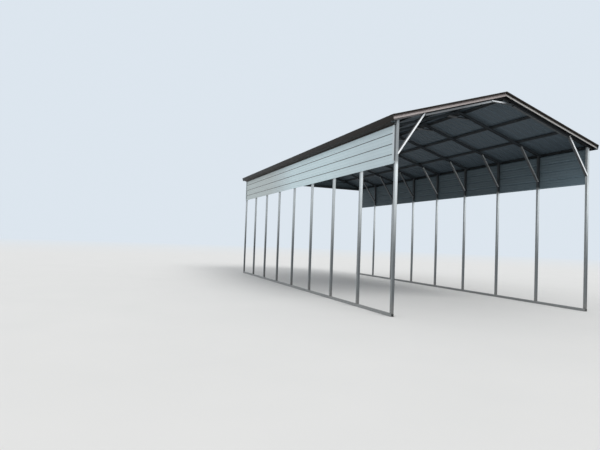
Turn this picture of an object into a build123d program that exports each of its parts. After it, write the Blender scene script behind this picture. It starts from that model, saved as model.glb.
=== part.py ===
"""Open steel carport for a motor home: square tube frames under a ribbed gable roof.

Millimetres, +Z up. The origin is on the ground at the middle of the plan, the front
gable is at -Y, the closed gable at +Y, and the ridge runs along Y.
"""

import os
from math import atan2, cos, radians, sin, tan

from build123d import *

os.makedirs("parts", exist_ok=True)

# Frames: square tube legs on a base rail, one bow on each pair of legs
bays = 8
frame_spacing = 1524.0
frame_width = 5791.2
eave_height = 4187.0
pitch = 16.9
tube = 63.5
tube_wall = 1.9
tube_corner = 3.2
bow_joint = 0.5

# Stubs that the legs slide over, and the holes for the ground anchors
stub_height = 150.0
stub_wall = 1.9
stub_clearance = 0.4
anchor_hole = 14.0
anchor_offset = 150.0

# Channel braces that straddle the tubes, and the channels under the front bow
knee_drop = 705.0
knee_run = 633.0
knee_lap = 22.0
knee_depth = 36.0
peak_drop = 122.0
peak_half_length = 340.0
peak_depth = 30.0
bow_channel_depth = 40.0
brace_steel = 1.9
brace_clearance = 0.3

# Hat channels between the bows and the roof sheets
hat_height = 38.1
hat_top = 38.1
hat_lean = 9.5
hat_flange = 19.0
hat_steel = 1.2
hats_per_slope = 4
first_hat = 150.0
last_hat_inset = 62.0

# Ribbed sheets
sheet_steel = 0.5
rib_pitch = 228.6
rib_height = 19.05
rib_base = 52.0
rib_top = 22.0
eave_overhang = 178.0
gable_overhang = 152.4
ridge_gap = 25.0
tail_setback = 12.0
side_ribs = 4
side_drop = 18.0
side_lap = 16.0

# Folded trims
trim_steel = 0.6
trim_clearance = 0.5
ridge_cap_wing = 190.0
ridge_cap_lip = 9.0
rake_flange = 100.0
rake_nose = 28.0
rake_setback = 72.0
rake_fascia = 71.0
rake_lean = 28.0
rake_hem = 9.0
eave_flange = 62.0
eave_face = 124.0
eave_soffit_fall = 28.0
eave_hem = 26.0
eave_lip = 14.0
end_flange = 76.0
end_short = 60.0

# Framing of the closed rear gable
gable_lap = 8.0

# Sizes that follow from the ones above
frames = bays + 1
frame_length = bays * frame_spacing
frame_ys = [number * frame_spacing - frame_length / 2 for number in range(frames)]
braced_ys = frame_ys[:-1]
half_length = frame_length / 2 + tube / 2
half_width = frame_width / 2
leg_x = half_width - tube / 2
slope = radians(pitch)
roof_length = frame_length + 2 * gable_overhang
ridge_z = eave_height + half_width * tan(slope) + tube / cos(slope)
sheet_level = hat_height
rib_level = sheet_level + sheet_steel + rib_height
lap_level = rib_level + trim_steel
roof_half = half_width + eave_overhang
slope_end = (roof_half - rib_level * sin(slope)) / cos(slope)
tail_end = slope_end - tail_setback
side_top = eave_height - side_drop
side_bottom = side_top - side_ribs * rib_pitch
side_rib_x = half_width + sheet_steel + rib_height
side_front = tube / 2 - frame_length / 2 - side_lap
rake_y = roof_length / 2 + trim_clearance
fascia_y = rake_y - rake_setback


def on_slope(along, above):
    """X and Z of a point on the right slope, measured down from the ridge and up from the bows."""
    x = along * cos(slope) + above * sin(slope)
    z = ridge_z - along * sin(slope) + above * cos(slope)
    return (x, z)


def at_ridge(above):
    """X and Z where the level that lies above the bows meets the ridge line."""
    return (0, ridge_z + above / cos(slope))


def ribbed(start, end, first, count):
    """Closed outline of a ribbed sheet on Y = 0, its ribs rising to +Y, with half ribs at its ends."""
    lower = []
    for number in range(count):
        middle = first + number * rib_pitch
        for reach, height in ((-rib_base, 0), (-rib_top, rib_height), (rib_top, rib_height), (rib_base, 0)):
            place = middle + reach / 2
            if start < place < end:
                lower.append((place, height))
    first_height = rib_height if abs(first - start) < rib_top / 2 else 0
    last_height = rib_height if abs(first + (count - 1) * rib_pitch - end) < rib_top / 2 else 0
    lower = [(start, first_height)] + lower + [(end, last_height)]
    upper = [(place, height + sheet_steel) for place, height in lower]
    return lower + upper[::-1]


def slope_section(y):
    """Plane across the right slope: its X runs down the slope and its Y away from the roof."""
    return Plane(origin=(0, y, ridge_z), x_dir=(cos(slope), 0, -sin(slope)), z_dir=(0, -1, 0))


def save(part, name):
    """Label a finished part and write it to its own file."""
    part.label = name
    export_step(part, f"parts/{name}.step")


# Underside of the bows, which trims the legs and the gable stud
underside_x, underside_z = on_slope(0, -tube)
underside_right = Plane(origin=(underside_x, 0, underside_z), z_dir=(sin(slope), 0, cos(slope)))
underside_left = Plane(origin=(-underside_x, 0, underside_z), z_dir=(-sin(slope), 0, cos(slope)))

# Base rails: a hollow tube along each row of legs, with holes for the ground anchors
with BuildPart() as base_rail_right:
    with BuildSketch(Plane.XZ.offset(-half_length)):
        with Locations((leg_x, tube / 2)):
            RectangleRounded(tube, tube, tube_corner)
            Rectangle(tube - 2 * tube_wall, tube - 2 * tube_wall, mode=Mode.SUBTRACT)
    extrude(amount=2 * half_length)
    anchors = [y + anchor_offset for y in frame_ys[:-1:2]] + [frame_ys[-1] - anchor_offset]
    with BuildSketch(Plane.XY):
        with Locations([(leg_x, y) for y in anchors]):
            Circle(anchor_hole / 2)
    extrude(amount=tube, mode=Mode.SUBTRACT)
save(base_rail_right.part, "base_rail_right")

with BuildPart() as base_rail_left:
    mirror(base_rail_right.part, about=Plane.YZ)
save(base_rail_left.part, "base_rail_left")

# Stubs on the rails, one inside the foot of each leg
stub = tube - 2 * tube_wall - 2 * stub_clearance
with BuildPart() as leg_stubs:
    with BuildSketch(Plane.XY.offset(tube)):
        with GridLocations(2 * leg_x, frame_spacing, 2, frames):
            Rectangle(stub, stub)
            Rectangle(stub - 2 * stub_wall, stub - 2 * stub_wall, mode=Mode.SUBTRACT)
    extrude(amount=stub_height)
save(leg_stubs.part, "leg_stubs")

# Legs: tubes on the rail, their tops cut to the slope of the bows
for side, sign, underside in (("left", -1, underside_left), ("right", 1, underside_right)):
    for number, frame_y in enumerate(frame_ys, 1):
        with BuildPart() as leg:
            with BuildSketch(Plane.XY.offset(tube)):
                with Locations((sign * leg_x, frame_y)):
                    RectangleRounded(tube, tube, tube_corner)
                    Rectangle(tube - 2 * tube_wall, tube - 2 * tube_wall, mode=Mode.SUBTRACT)
            extrude(amount=eave_height)
            split(bisect_by=underside, keep=Keep.BOTTOM)
        save(leg.part, f"leg_{side}_{number}")

# One bow: two hollow rafters, mitred at the ridge
with BuildPart() as rafter:
    with BuildSketch(slope_section(0)):
        with Locations(((tail_end - tube) / 2, -tube / 2)):
            Rectangle(tail_end + tube, tube)
    extrude(amount=tube / 2, both=True)
    with BuildSketch(slope_section(0)):
        with Locations((tail_end / 2, -tube / 2)):
            Rectangle(tail_end + 4 * tube, tube - 2 * tube_wall)
    extrude(amount=tube / 2 - tube_wall, both=True, mode=Mode.SUBTRACT)
    split(bisect_by=Plane.YZ.offset(bow_joint / 2), keep=Keep.TOP)

with BuildPart() as bow:
    add(rafter.part)
    mirror(rafter.part, about=Plane.YZ)

for number, frame_y in enumerate(frame_ys, 1):
    with BuildPart() as placed_bow:
        with Locations((0, frame_y, 0)):
            add(bow.part)
    save(placed_bow.part, f"bow_{number}")

# Peak braces: short channels under the ridge, their sides over the rafters. The last bow
# has none, because the frame of the closed gable stiffens it.
brace_inner = tube + 2 * brace_clearance
brace_outer = brace_inner + 2 * brace_steel
peak_bottom = ridge_z - tube / cos(slope) - peak_drop
with BuildPart() as peak_brace:
    with BuildSketch(Plane.XZ):
        with Locations((0, peak_bottom + peak_depth / 2)):
            Rectangle(2 * peak_half_length, peak_depth)
    extrude(amount=brace_outer / 2, both=True)
    with BuildSketch(Plane.XZ):
        with Locations((0, peak_bottom + peak_depth / 2 + brace_steel)):
            Rectangle(2 * peak_half_length, peak_depth)
    extrude(amount=brace_inner / 2, both=True, mode=Mode.SUBTRACT)

with BuildPart() as peak_braces:
    with Locations([(0, y, 0) for y in braced_ys]):
        add(peak_brace.part)
save(peak_braces.part, "peak_braces")

# Knee braces: channels from each leg up to its rafter, their sides a little way over both
foot_x = leg_x - tube / 2
head_x = foot_x - knee_run
head_z = ridge_z - tube / cos(slope) - head_x * tan(slope)
foot_seat = Vector(foot_x, eave_height - knee_drop)
head_seat = Vector(head_x, head_z)
knee_line = (head_seat - foot_seat).normalized()
knee_side = Vector(-knee_line.Y, knee_line.X)
knee_foot = foot_seat - knee_line * knee_lap
knee_head = head_seat + knee_line * knee_lap
with BuildPart() as knee_brace:
    with BuildSketch(Plane.XZ):
        with BuildLine():
            Polyline(
                knee_foot + knee_side * knee_depth / 2,
                knee_head + knee_side * knee_depth / 2,
                knee_head - knee_side * knee_depth / 2,
                knee_foot - knee_side * knee_depth / 2,
                close=True,
            )
        make_face()
    extrude(amount=brace_outer / 2, both=True)
    with BuildSketch(Plane.XZ):
        with BuildLine():
            Polyline(
                knee_foot + knee_side * (knee_depth / 2 - brace_steel) - knee_line * tube,
                knee_head + knee_side * (knee_depth / 2 - brace_steel) + knee_line * tube,
                knee_head - knee_side * knee_depth + knee_line * tube,
                knee_foot - knee_side * knee_depth - knee_line * tube,
                close=True,
            )
        make_face()
    extrude(amount=brace_inner / 2, both=True, mode=Mode.SUBTRACT)
    with BuildSketch(Plane.XZ):
        with Locations((leg_x, foot_seat.Y)):
            Rectangle(tube + 2 * brace_clearance, 4 * tube)
    extrude(amount=brace_inner / 2, both=True, mode=Mode.SUBTRACT)
    with BuildSketch(slope_section(0)):
        with Locations((tail_end / 2, -tube / 2)):
            Rectangle(tail_end, tube + 2 * brace_clearance)
    extrude(amount=brace_inner / 2, both=True, mode=Mode.SUBTRACT)

with BuildPart() as knee_braces_right:
    with Locations([(0, y, 0) for y in braced_ys]):
        add(knee_brace.part)
save(knee_braces_right.part, "knee_braces_right")

with BuildPart() as knee_braces_left:
    mirror(knee_braces_right.part, about=Plane.YZ)
save(knee_braces_left.part, "knee_braces_left")

# Channels under the front bow, from the heads of its knee braces up to its peak brace
knee_angle = atan2(knee_line.Y, -knee_line.X) - slope
knee_clear = (knee_depth / 2 + brace_clearance) / sin(knee_angle)
channel_foot = (head_x + tube * sin(slope)) / cos(slope) - knee_clear
channel_head = (peak_half_length + brace_clearance + (tube + bow_channel_depth) * sin(slope)) / cos(slope)
channel_middle = (channel_foot + channel_head) / 2
channel_length = channel_foot - channel_head
with BuildPart() as bow_channels:
    with BuildSketch(slope_section(frame_ys[0])):
        with Locations((channel_middle, -tube - bow_channel_depth / 2)):
            Rectangle(channel_length, bow_channel_depth)
    extrude(amount=tube / 2, both=True)
    with BuildSketch(slope_section(frame_ys[0])):
        with Locations((channel_middle, -tube - bow_channel_depth / 2 + brace_steel)):
            Rectangle(channel_length, bow_channel_depth)
    extrude(amount=tube / 2 - brace_steel, both=True, mode=Mode.SUBTRACT)
    mirror(about=Plane.YZ)
save(bow_channels.part, "bow_channels")

# Hat channels: folded strips along the roof, flanges down on the bows, ended behind the fascias
hat_foot = hat_top / 2 + hat_lean
hat_end = fascia_y - trim_clearance
last_hat = tail_end - last_hat_inset
hat_spacing = (last_hat - first_hat) / (hats_per_slope - 1)
with BuildSketch() as hat_section:
    with BuildLine():
        Polyline(
            (-hat_foot - hat_flange, 0),
            (-hat_foot, 0),
            (-hat_top / 2, hat_height - hat_steel),
            (hat_top / 2, hat_height - hat_steel),
            (hat_foot, 0),
            (hat_foot + hat_flange, 0),
        )
        offset(amount=hat_steel, kind=Kind.INTERSECTION, side=Side.LEFT)
    make_face()

with BuildPart() as hat_channels_right:
    with BuildSketch(slope_section(hat_end)):
        with Locations([(first_hat + n * hat_spacing, 0) for n in range(hats_per_slope)]):
            add(hat_section.sketch)
    extrude(amount=2 * hat_end)
save(hat_channels_right.part, "hat_channels_right")

with BuildPart() as hat_channels_left:
    mirror(hat_channels_right.part, about=Plane.YZ)
save(hat_channels_left.part, "hat_channels_left")

# Roof sheets: ribs run down the slope, one folded sheet a side
sheet_x, sheet_z = on_slope(ridge_gap, sheet_level)
sheet_plane = Plane(origin=(sheet_x, 0, sheet_z), x_dir=(0, 1, 0), z_dir=(cos(slope), 0, -sin(slope)))
roof_ribs = int((roof_length - rib_base) / rib_pitch) // 2 * 2 + 1
with BuildPart() as roof_sheet_right:
    with BuildSketch(sheet_plane):
        with BuildLine():
            first_rib = -(roof_ribs - 1) / 2 * rib_pitch
            Polyline(*ribbed(-roof_length / 2, roof_length / 2, first_rib, roof_ribs), close=True)
        make_face()
    extrude(amount=slope_end - ridge_gap)
save(roof_sheet_right.part, "roof_sheet_right")

with BuildPart() as roof_sheet_left:
    mirror(roof_sheet_right.part, about=Plane.YZ)
save(roof_sheet_left.part, "roof_sheet_left")

# Ridge cap: a folded strip over both slopes, with a small lip along each wing
with BuildPart() as ridge_cap:
    with BuildSketch(Plane.XZ.offset(-roof_length / 2)):
        with BuildLine():
            wing = on_slope(ridge_cap_wing, lap_level)
            lip = on_slope(ridge_cap_wing + ridge_cap_lip, lap_level + ridge_cap_lip / 3)
            upper_lip = (lip[0], lip[1] + trim_steel)
            upper_wing = (wing[0], wing[1] + trim_steel)
            upper_ridge = (0, at_ridge(lap_level)[1] + trim_steel)
            half = Polyline(at_ridge(lap_level), wing, lip, upper_lip, upper_wing, upper_ridge)
            mirror(half, about=Plane.YZ)
        make_face()
    extrude(amount=roof_length)
save(ridge_cap.part, "ridge_cap")

# Rake trims: a flange on the last rib, a nose round the sheet's edge, and a fascia set back
# over the ends of the channels, which leans out to a small hem at its foot
nose_level = rib_level - rake_nose
foot_level = nose_level - rake_fascia
foot_y = fascia_y + rake_lean
rake_start_x, rake_start_z = on_slope(0, 0)
rake_plane = Plane(
    origin=(rake_start_x, 0, rake_start_z), x_dir=(0, 1, 0), z_dir=(cos(slope), 0, -sin(slope))
)
with BuildPart() as rake_wing:
    with BuildSketch(rake_plane):
        with BuildLine():
            Polyline(
                (rake_y - rake_flange, rib_level),
                (rake_y, rib_level),
                (rake_y, nose_level),
                (fascia_y, nose_level),
                (foot_y, foot_level),
                (foot_y - rake_hem, foot_level),
            )
            offset(amount=trim_steel, kind=Kind.INTERSECTION, side=Side.RIGHT)
        make_face()
    extrude(amount=slope_end)
    extrude(faces().sort_by(Axis.X)[0], amount=2 * tube)
    split(bisect_by=Plane.YZ.offset(bow_joint / 2), keep=Keep.TOP)

with BuildPart() as rake_trim_rear:
    add(rake_wing.part)
    mirror(rake_wing.part, about=Plane.YZ)
save(rake_trim_rear.part, "rake_trim_rear")

with BuildPart() as rake_trim_front:
    mirror(rake_trim_rear.part, about=Plane.XZ)
save(rake_trim_front.part, "rake_trim_front")

# Eave trims: over the edge of the sheets, round the tails and back to the side panel. Past
# the ends of the side panel only a lip of the soffit is left.
eave_out = slope_end + trim_clearance
tip = on_slope(eave_out, lap_level)
fold = on_slope(eave_out, lap_level - eave_face)
inner_x = side_rib_x + trim_clearance
with BuildPart() as eave_trim_right:
    with BuildSketch(Plane.XZ.offset(-roof_length / 2)):
        with BuildLine():
            Polyline(
                on_slope(eave_out - eave_flange, lap_level),
                tip,
                fold,
                (inner_x, fold[1] - eave_soffit_fall),
                (inner_x, fold[1] - eave_soffit_fall - eave_hem),
            )
            offset(amount=trim_steel, kind=Kind.INTERSECTION, side=Side.LEFT)
        make_face()
    extrude(amount=roof_length)
    soffit_end = fold[0] - eave_lip
    with BuildSketch(Plane.XY.offset(fold[1] - eave_soffit_fall - 2 * eave_hem)):
        for end, start in ((side_front - trim_clearance, -rake_y), (half_length + trim_clearance, rake_y)):
            with Locations(((soffit_end + half_width) / 2, (start + end) / 2)):
                Rectangle(soffit_end - half_width, abs(start - end))
    extrude(amount=eave_soffit_fall + 2 * eave_hem + eave_lip, mode=Mode.SUBTRACT)
save(eave_trim_right.part, "eave_trim_right")

with BuildPart() as eave_trim_left:
    mirror(eave_trim_right.part, about=Plane.YZ)
save(eave_trim_left.part, "eave_trim_left")

# Side panels: one ribbed sheet along the top of each row of legs, from a lap on the front leg
# to the corner of the rear gable
side_plane = Plane(origin=(-half_width, half_length, side_bottom), x_dir=(0, 0, 1), z_dir=(0, -1, 0))
with BuildPart() as side_panel_left:
    with BuildSketch(side_plane):
        with BuildLine():
            Polyline(*ribbed(0, side_ribs * rib_pitch, 0, side_ribs + 1), close=True)
        make_face()
    extrude(amount=half_length - side_front)
save(side_panel_left.part, "side_panel_left")

with BuildPart() as side_panel_right:
    mirror(side_panel_left.part, about=Plane.YZ)
save(side_panel_right.part, "side_panel_right")

# End trims: angles over the ends of the side panels, stopped short above the lower edge
end_x = half_width + trim_clearance
end_top = fold[1] - eave_soffit_fall - eave_hem - trim_clearance
with BuildPart() as end_trims_right:
    with BuildSketch(Plane.XY.offset(side_bottom + end_short)):
        for end_y, way, outer in ((side_front, -1, Side.LEFT), (half_length, 1, Side.RIGHT)):
            face_y = end_y + way * trim_clearance
            with BuildLine():
                Polyline((side_rib_x, face_y - way * end_flange), (side_rib_x, face_y), (end_x, face_y))
                offset(amount=trim_steel, kind=Kind.INTERSECTION, side=outer)
            make_face()
    extrude(amount=end_top - side_bottom - end_short)
save(end_trims_right.part, "end_trims_right")

with BuildPart() as end_trims_left:
    mirror(end_trims_right.part, about=Plane.YZ)
save(end_trims_left.part, "end_trims_left")

# Frame of the rear gable: a header between the last legs and a stud up to the last bow
rear_y = frame_length / 2
with BuildPart() as gable_frame:
    with BuildSketch(Plane.YZ):
        with Locations((rear_y, eave_height - tube / 2)):
            RectangleRounded(tube, tube, tube_corner)
    extrude(amount=leg_x - tube / 2, both=True)
    with BuildSketch(Plane.XY.offset(eave_height)):
        with Locations((0, rear_y)):
            RectangleRounded(tube, tube, tube_corner)
    extrude(amount=eave_height)
    split(bisect_by=underside_right, keep=Keep.BOTTOM)
    split(bisect_by=underside_left, keep=Keep.BOTTOM)
    with BuildSketch(Plane.YZ):
        with Locations((rear_y, eave_height - tube / 2)):
            Rectangle(tube - 2 * tube_wall, tube - 2 * tube_wall)
    extrude(amount=leg_x, both=True, mode=Mode.SUBTRACT)
    with BuildSketch(Plane.XY.offset(eave_height)):
        with Locations((0, rear_y)):
            Rectangle(tube - 2 * tube_wall, tube - 2 * tube_wall)
    extrude(amount=eave_height, mode=Mode.SUBTRACT)
save(gable_frame.part, "gable_frame")

# Sheet of the rear gable, its ribs level, cut to the slopes
gable_bottom = eave_height - tube - gable_lap
gable_ribs = int((ridge_z - gable_bottom) / rib_pitch) + 1
gable_plane = Plane(origin=(0, half_length, gable_bottom), x_dir=(0, 0, 1), z_dir=(-1, 0, 0))
with BuildPart() as gable_panel:
    with BuildSketch(gable_plane):
        with BuildLine():
            gable_rise = gable_ribs * rib_pitch
            Polyline(*ribbed(0, gable_rise, rib_pitch / 2, gable_ribs), close=True)
        make_face()
    extrude(amount=half_width, both=True)
    with BuildSketch(Plane.XZ.offset(-half_length)):
        with BuildLine():
            half = Polyline(
                at_ridge(-trim_clearance),
                on_slope((half_width - trim_clearance) / cos(slope), -trim_clearance),
                (half_width - trim_clearance, gable_bottom),
                (0, gable_bottom),
            )
            mirror(half, about=Plane.YZ)
        make_face()
    extrude(amount=-2 * rib_height, mode=Mode.INTERSECT)
save(gable_panel.part, "gable_panel")
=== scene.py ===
from math import cos, radians, sin, sqrt, tan

import bmesh
import bpy
import numpy as np
from mathutils import Matrix, Vector


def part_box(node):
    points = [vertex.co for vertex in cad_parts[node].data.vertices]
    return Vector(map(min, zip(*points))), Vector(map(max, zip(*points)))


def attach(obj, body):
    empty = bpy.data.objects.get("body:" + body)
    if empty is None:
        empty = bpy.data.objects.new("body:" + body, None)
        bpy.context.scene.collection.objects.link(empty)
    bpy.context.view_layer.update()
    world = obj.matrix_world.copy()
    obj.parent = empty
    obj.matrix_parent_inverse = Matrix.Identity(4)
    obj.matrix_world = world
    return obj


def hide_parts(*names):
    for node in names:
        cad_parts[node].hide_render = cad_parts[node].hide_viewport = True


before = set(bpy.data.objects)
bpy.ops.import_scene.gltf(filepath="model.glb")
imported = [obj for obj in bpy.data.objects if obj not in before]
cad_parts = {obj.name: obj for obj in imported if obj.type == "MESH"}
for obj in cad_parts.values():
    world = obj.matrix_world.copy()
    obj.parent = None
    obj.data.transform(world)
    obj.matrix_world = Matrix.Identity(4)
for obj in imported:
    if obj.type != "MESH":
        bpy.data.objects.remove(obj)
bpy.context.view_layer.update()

# Base rails: square steel tube flat on the ground under each row of legs, roll formed
# from zinc coated strip, with a hole beside every second leg for a ground anchor.

zinc_light = (0.45, 0.475, 0.475, 1)
zinc_dark = (0.28, 0.305, 0.315, 1)
# Near black zinc for painted shade, where a finish's shade mask asks for it.
zinc_shade_tone = (0.045, 0.052, 0.058, 1)
zinc_metallic = 0.75
zinc_roughness = 0.40
mud_colour = (0.21, 0.20, 0.19, 1)
spangle_per_metre = 75.0
spangle_relief = 0.0003
clouds_per_metre = 3.1
drawn_per_metre = 4.0
evenly = (1, 1, 1)
down_the_tube = (9, 9, 0.6)
splash_height = 0.45


class Field:
    """A value that changes over a surface: a node's output. Sums and products of fields add Math nodes."""

    def __init__(self, finish, socket):
        self.finish = finish
        self.socket = socket

    def math(self, operation, *values):
        """One Math node on values or fields."""
        return self.finish.node("Math", {"operation": operation}, dict(enumerate(values)))

    def __add__(self, other):
        return self.math("ADD", self, other)

    def __sub__(self, other):
        return self.math("SUBTRACT", self, other)

    def __rsub__(self, other):
        return self.math("SUBTRACT", other, self)

    def __mul__(self, other):
        return self.math("MULTIPLY", self, other)

    def __truediv__(self, other):
        return self.math("DIVIDE", self, other)

    def __abs__(self):
        return self.math("ABSOLUTE", self)

    __radd__ = __add__
    __rmul__ = __mul__


class Finish:
    """A material, or the world, whose nodes are added one by one around its shader."""

    def __init__(self, owner, shader="Principled BSDF"):
        owner.use_nodes = True
        self.owner = owner
        self.tree = owner.node_tree
        self.shader = self.tree.nodes[shader]

    def put(self, socket, value):
        """Links a field to a socket, or sets the socket's own value."""
        if isinstance(value, Field):
            self.tree.links.new(value.socket, socket)
        else:
            socket.default_value = value

    def node(self, kind, settings=None, inputs=None, output=0):
        """Adds a shader node, makes its settings, then its sockets, and returns one of its outputs."""
        added = self.tree.nodes.new("ShaderNode" + kind)
        for name, value in (settings or {}).items():
            setattr(added, name, value)
        for name, value in (inputs or {}).items():
            self.put(added.inputs[name], value)
        return Field(self, added.outputs[output])

    def surface(self, **sockets):
        """Sets the shader's sockets, named with _ for a space, and returns the material."""
        for name, value in sockets.items():
            self.put(self.shader.inputs[name.replace("_", " ")], value)
        return self.owner


def blend(factor, first, second):
    """The colour between two colours at a factor from 0 to 1."""
    return factor.finish.node("Mix", {"data_type": "RGBA"}, {0: factor, 6: first, 7: second}, 2)


def limited(field, low=0.0, high=1.0):
    """A field held between two values."""
    return field.finish.node("Clamp", None, {"Value": field, "Min": low, "Max": high})


def axis_of(vector, axis):
    """One coordinate of a vector as a field."""
    return vector.finish.node("SeparateXYZ", None, {"Vector": vector}, axis)


def noise(place, stretch, scale, detail=3.0, roughness=0.55):
    """Smooth noise from 0 to 1 on the object's coordinates, squeezed by stretch along each axis."""
    drawn = place.finish.node("VectorMath", {"operation": "MULTIPLY"}, {0: place, 1: stretch})
    return place.finish.node(
        "TexNoise", None, {"Vector": drawn, "Scale": scale, "Detail": detail, "Roughness": roughness}
    )


def galvanised(name, light, dark, metallic, roughness, shade_mask=None, shade_to_colour=zinc_shade_tone, gloss=0.5):
    """Zinc coat: crystals that each catch the light a little, cloudy patches, marks drawn out along
    upright tubes, and splashed mud near the ground.

    An optional mask, from 0 to 1 at a place that faces a direction, paints shade there: it darkens
    the colour towards a shade colour.
    """
    zinc = Finish(bpy.data.materials.new(name))
    place = zinc.node("TexCoord", output="Object")
    crystals = zinc.node("TexVoronoi", None, {"Vector": place, "Scale": spangle_per_metre}, "Color")
    glint = zinc.node("SeparateColor", None, {"Color": crystals})
    clouds = noise(place, evenly, clouds_per_metre, detail=4.0, roughness=0.6)
    drawn = noise(place, down_the_tube, drawn_per_metre)
    tone = limited(clouds * 0.9 + glint * 0.22 + drawn * 0.5 - 0.32)
    splash = limited((1 - axis_of(place, "Z") / splash_height) * (clouds + drawn) * 0.9)
    metal = blend(tone, dark, light)
    if shade_mask:
        metal = blend(shade_mask(place, zinc.node("NewGeometry", output="Normal")), metal, shade_to_colour)
    return zinc.surface(
        Base_Color=blend(splash * 0.6, metal, mud_colour),
        Metallic=metallic - splash * 0.5,
        Roughness=roughness + (clouds - 0.5) * 0.2 + glint * 0.06 + splash * 0.2,
        Specular_IOR_Level=gloss,
        Normal=zinc.node("Bump", None, {"Height": glint, "Strength": 0.35, "Distance": spangle_relief}),
    )


tube_zinc = galvanised("tube_zinc", zinc_light, zinc_dark, zinc_metallic, zinc_roughness)


def finish_nodes(names, material):
    """Gives CAD nodes their finish."""
    for name in names:
        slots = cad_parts[name].data.materials
        slots.clear()
        slots.append(material)


finish_nodes(("base_rail_left", "base_rail_right", "leg_stubs"), tube_zinc)

# Legs: square tubes that slip over stubs on the rails, each held to its stub by four
# self drilling screws, two on the inner and two on the outer side.

rail_low, rail_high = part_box("base_rail_right")
tube = rail_high.x - rail_low.x
leg_x = (rail_high.x + rail_low.x) / 2
half_width = rail_high.x
half_length = rail_high.y
bays = 8
leg_ys = np.linspace(tube / 2 - half_length, half_length - tube / 2, bays + 1)
sides = (-1, 1)

# The legs' zinc is written bright as painted light; the numbers after it place the painted shade laid over
# it.
leg_light = (0.90, 0.93, 0.925, 1)
leg_dark = (0.66, 0.70, 0.71, 1)
shaded_above_height = 3.22
panel_edge = 0.10
frame_edge = 0.20
panel_shade_amount = 0.94
corner_shade_amount = 0.44
corner_shade_slant = 0.08
low_shade_amount = 0.88
left_shade_amount = 0.42


def ramp(field, start, end):
    """0 at a start and before it, 1 at an end and past it, and a straight line between."""
    return limited((field - start) / (end - start))


def behind_panels(place, normal):
    """How much shade is painted on the legs: most behind the panels, about half as much on the front legs
    there, the left one more, and below the panels more and more down to a third of that height, by a
    smooth step. Faces to the left get more painted shade, but not near the ground."""
    height = axis_of(place, "Z")
    high = ramp(height, shaded_above_height, shaded_above_height + panel_edge)
    inside = ramp(axis_of(place, "Y"), tube - half_length, tube - half_length + frame_edge)
    corner = corner_shade_amount - axis_of(place, "X") * corner_shade_slant
    low = ramp(height, shaded_above_height, shaded_above_height / 3)
    grey = low * low * (3 - 2 * low)
    left = limited(axis_of(normal, "X") * -1) * (1 - high) * (1 - 1.35 * grey)
    behind = high * (corner * (1 - inside) + panel_shade_amount * inside)
    return limited(behind + grey * low_shade_amount + left * left_shade_amount)


leg_zinc = galvanised("leg_zinc", leg_light, leg_dark, zinc_metallic, zinc_roughness, behind_panels)
finish_nodes([f"leg_{word}_{n}" for word in ("left", "right") for n in range(1, bays + 2)], leg_zinc)

screw_columns = 12
screw_turn = 2.4
washer_radius = 0.0076
washer_edge = 0.0072
washer_sunk = 0.0004
washer_top = 0.0016
head_flat = 0.0040
head_flare = 1.12
head_foot = 0.0026
head_top = 0.0066
foot_screw_heights = (0.045, 0.100)
screw_light = (0.72, 0.73, 0.72, 1)
screw_dark = (0.52, 0.53, 0.53, 1)
screw_steel = galvanised("screw_zinc", screw_light, screw_dark, metallic=0.8, roughness=0.35)


def grid_faces(rows, columns, round_rows=False, round_columns=False):
    """Faces between neighbours in a grid of points; a round direction joins its end to its start."""
    row = np.arange(rows if round_rows else rows - 1)[:, None]
    column = np.arange(columns if round_columns else columns - 1)[None, :]
    next_row = (row + 1) % rows
    next_column = (column + 1) % columns
    corners = (
        row * columns + column,
        row * columns + next_column,
        next_row * columns + next_column,
        next_row * columns + column,
    )
    return np.stack(np.broadcast_arrays(*corners), -1).reshape(-1, 4)


def closed_tubes(count, rows, columns):
    """Faces of many closed tubes of rings: all their walls, then a first and a last ring's cap for each."""
    base = (np.arange(count) * rows * columns)[:, None]
    walls = grid_faces(rows, columns, round_columns=True)
    ring = np.arange(columns)
    caps = np.stack([ring[::-1], ring + (rows - 1) * columns])
    faces = (base[:, :, None] + walls).reshape(-1, 4).tolist()
    return faces + (base[:, :, None] + caps).reshape(-1, columns).tolist()


def piece(name, points, faces, finishes, chosen=None, sharp=35.0):
    """A mesh from points and faces that rides on the frame; chosen is the finish of each face, and
    edges sharper than the angle sharp stay hard."""
    mesh = bpy.data.meshes.new(name)
    mesh.from_pydata(points.reshape(-1, 3).tolist(), [], faces)
    for finish in finishes:
        mesh.materials.append(finish)
    if chosen is not None:
        mesh.polygons.foreach_set("material_index", np.asarray(chosen, dtype=np.int32))
    turned = bmesh.new()
    turned.from_mesh(mesh)
    bmesh.ops.recalc_face_normals(turned, faces=turned.faces)
    turned.to_mesh(mesh)
    turned.free()
    mesh.shade_smooth()
    mesh.set_sharp_from_angle(angle=radians(sharp))
    made = bpy.data.objects.new(name, mesh)
    bpy.context.scene.collection.objects.link(made)
    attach(made, "root")
    return made


def around(directions):
    """Two unit vectors square to each direction and to each other: its cross product with Z, or with Y
    where it is near Z, and the cross product of both."""
    reference = np.where(np.abs(directions[:, 2:]) < 0.7, (0.0, 0.0, 1.0), (0.0, 1.0, 0.0))
    across = np.cross(reference, directions)
    across /= np.linalg.norm(across, axis=1)[:, None]
    return across, np.cross(directions, across)


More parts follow.
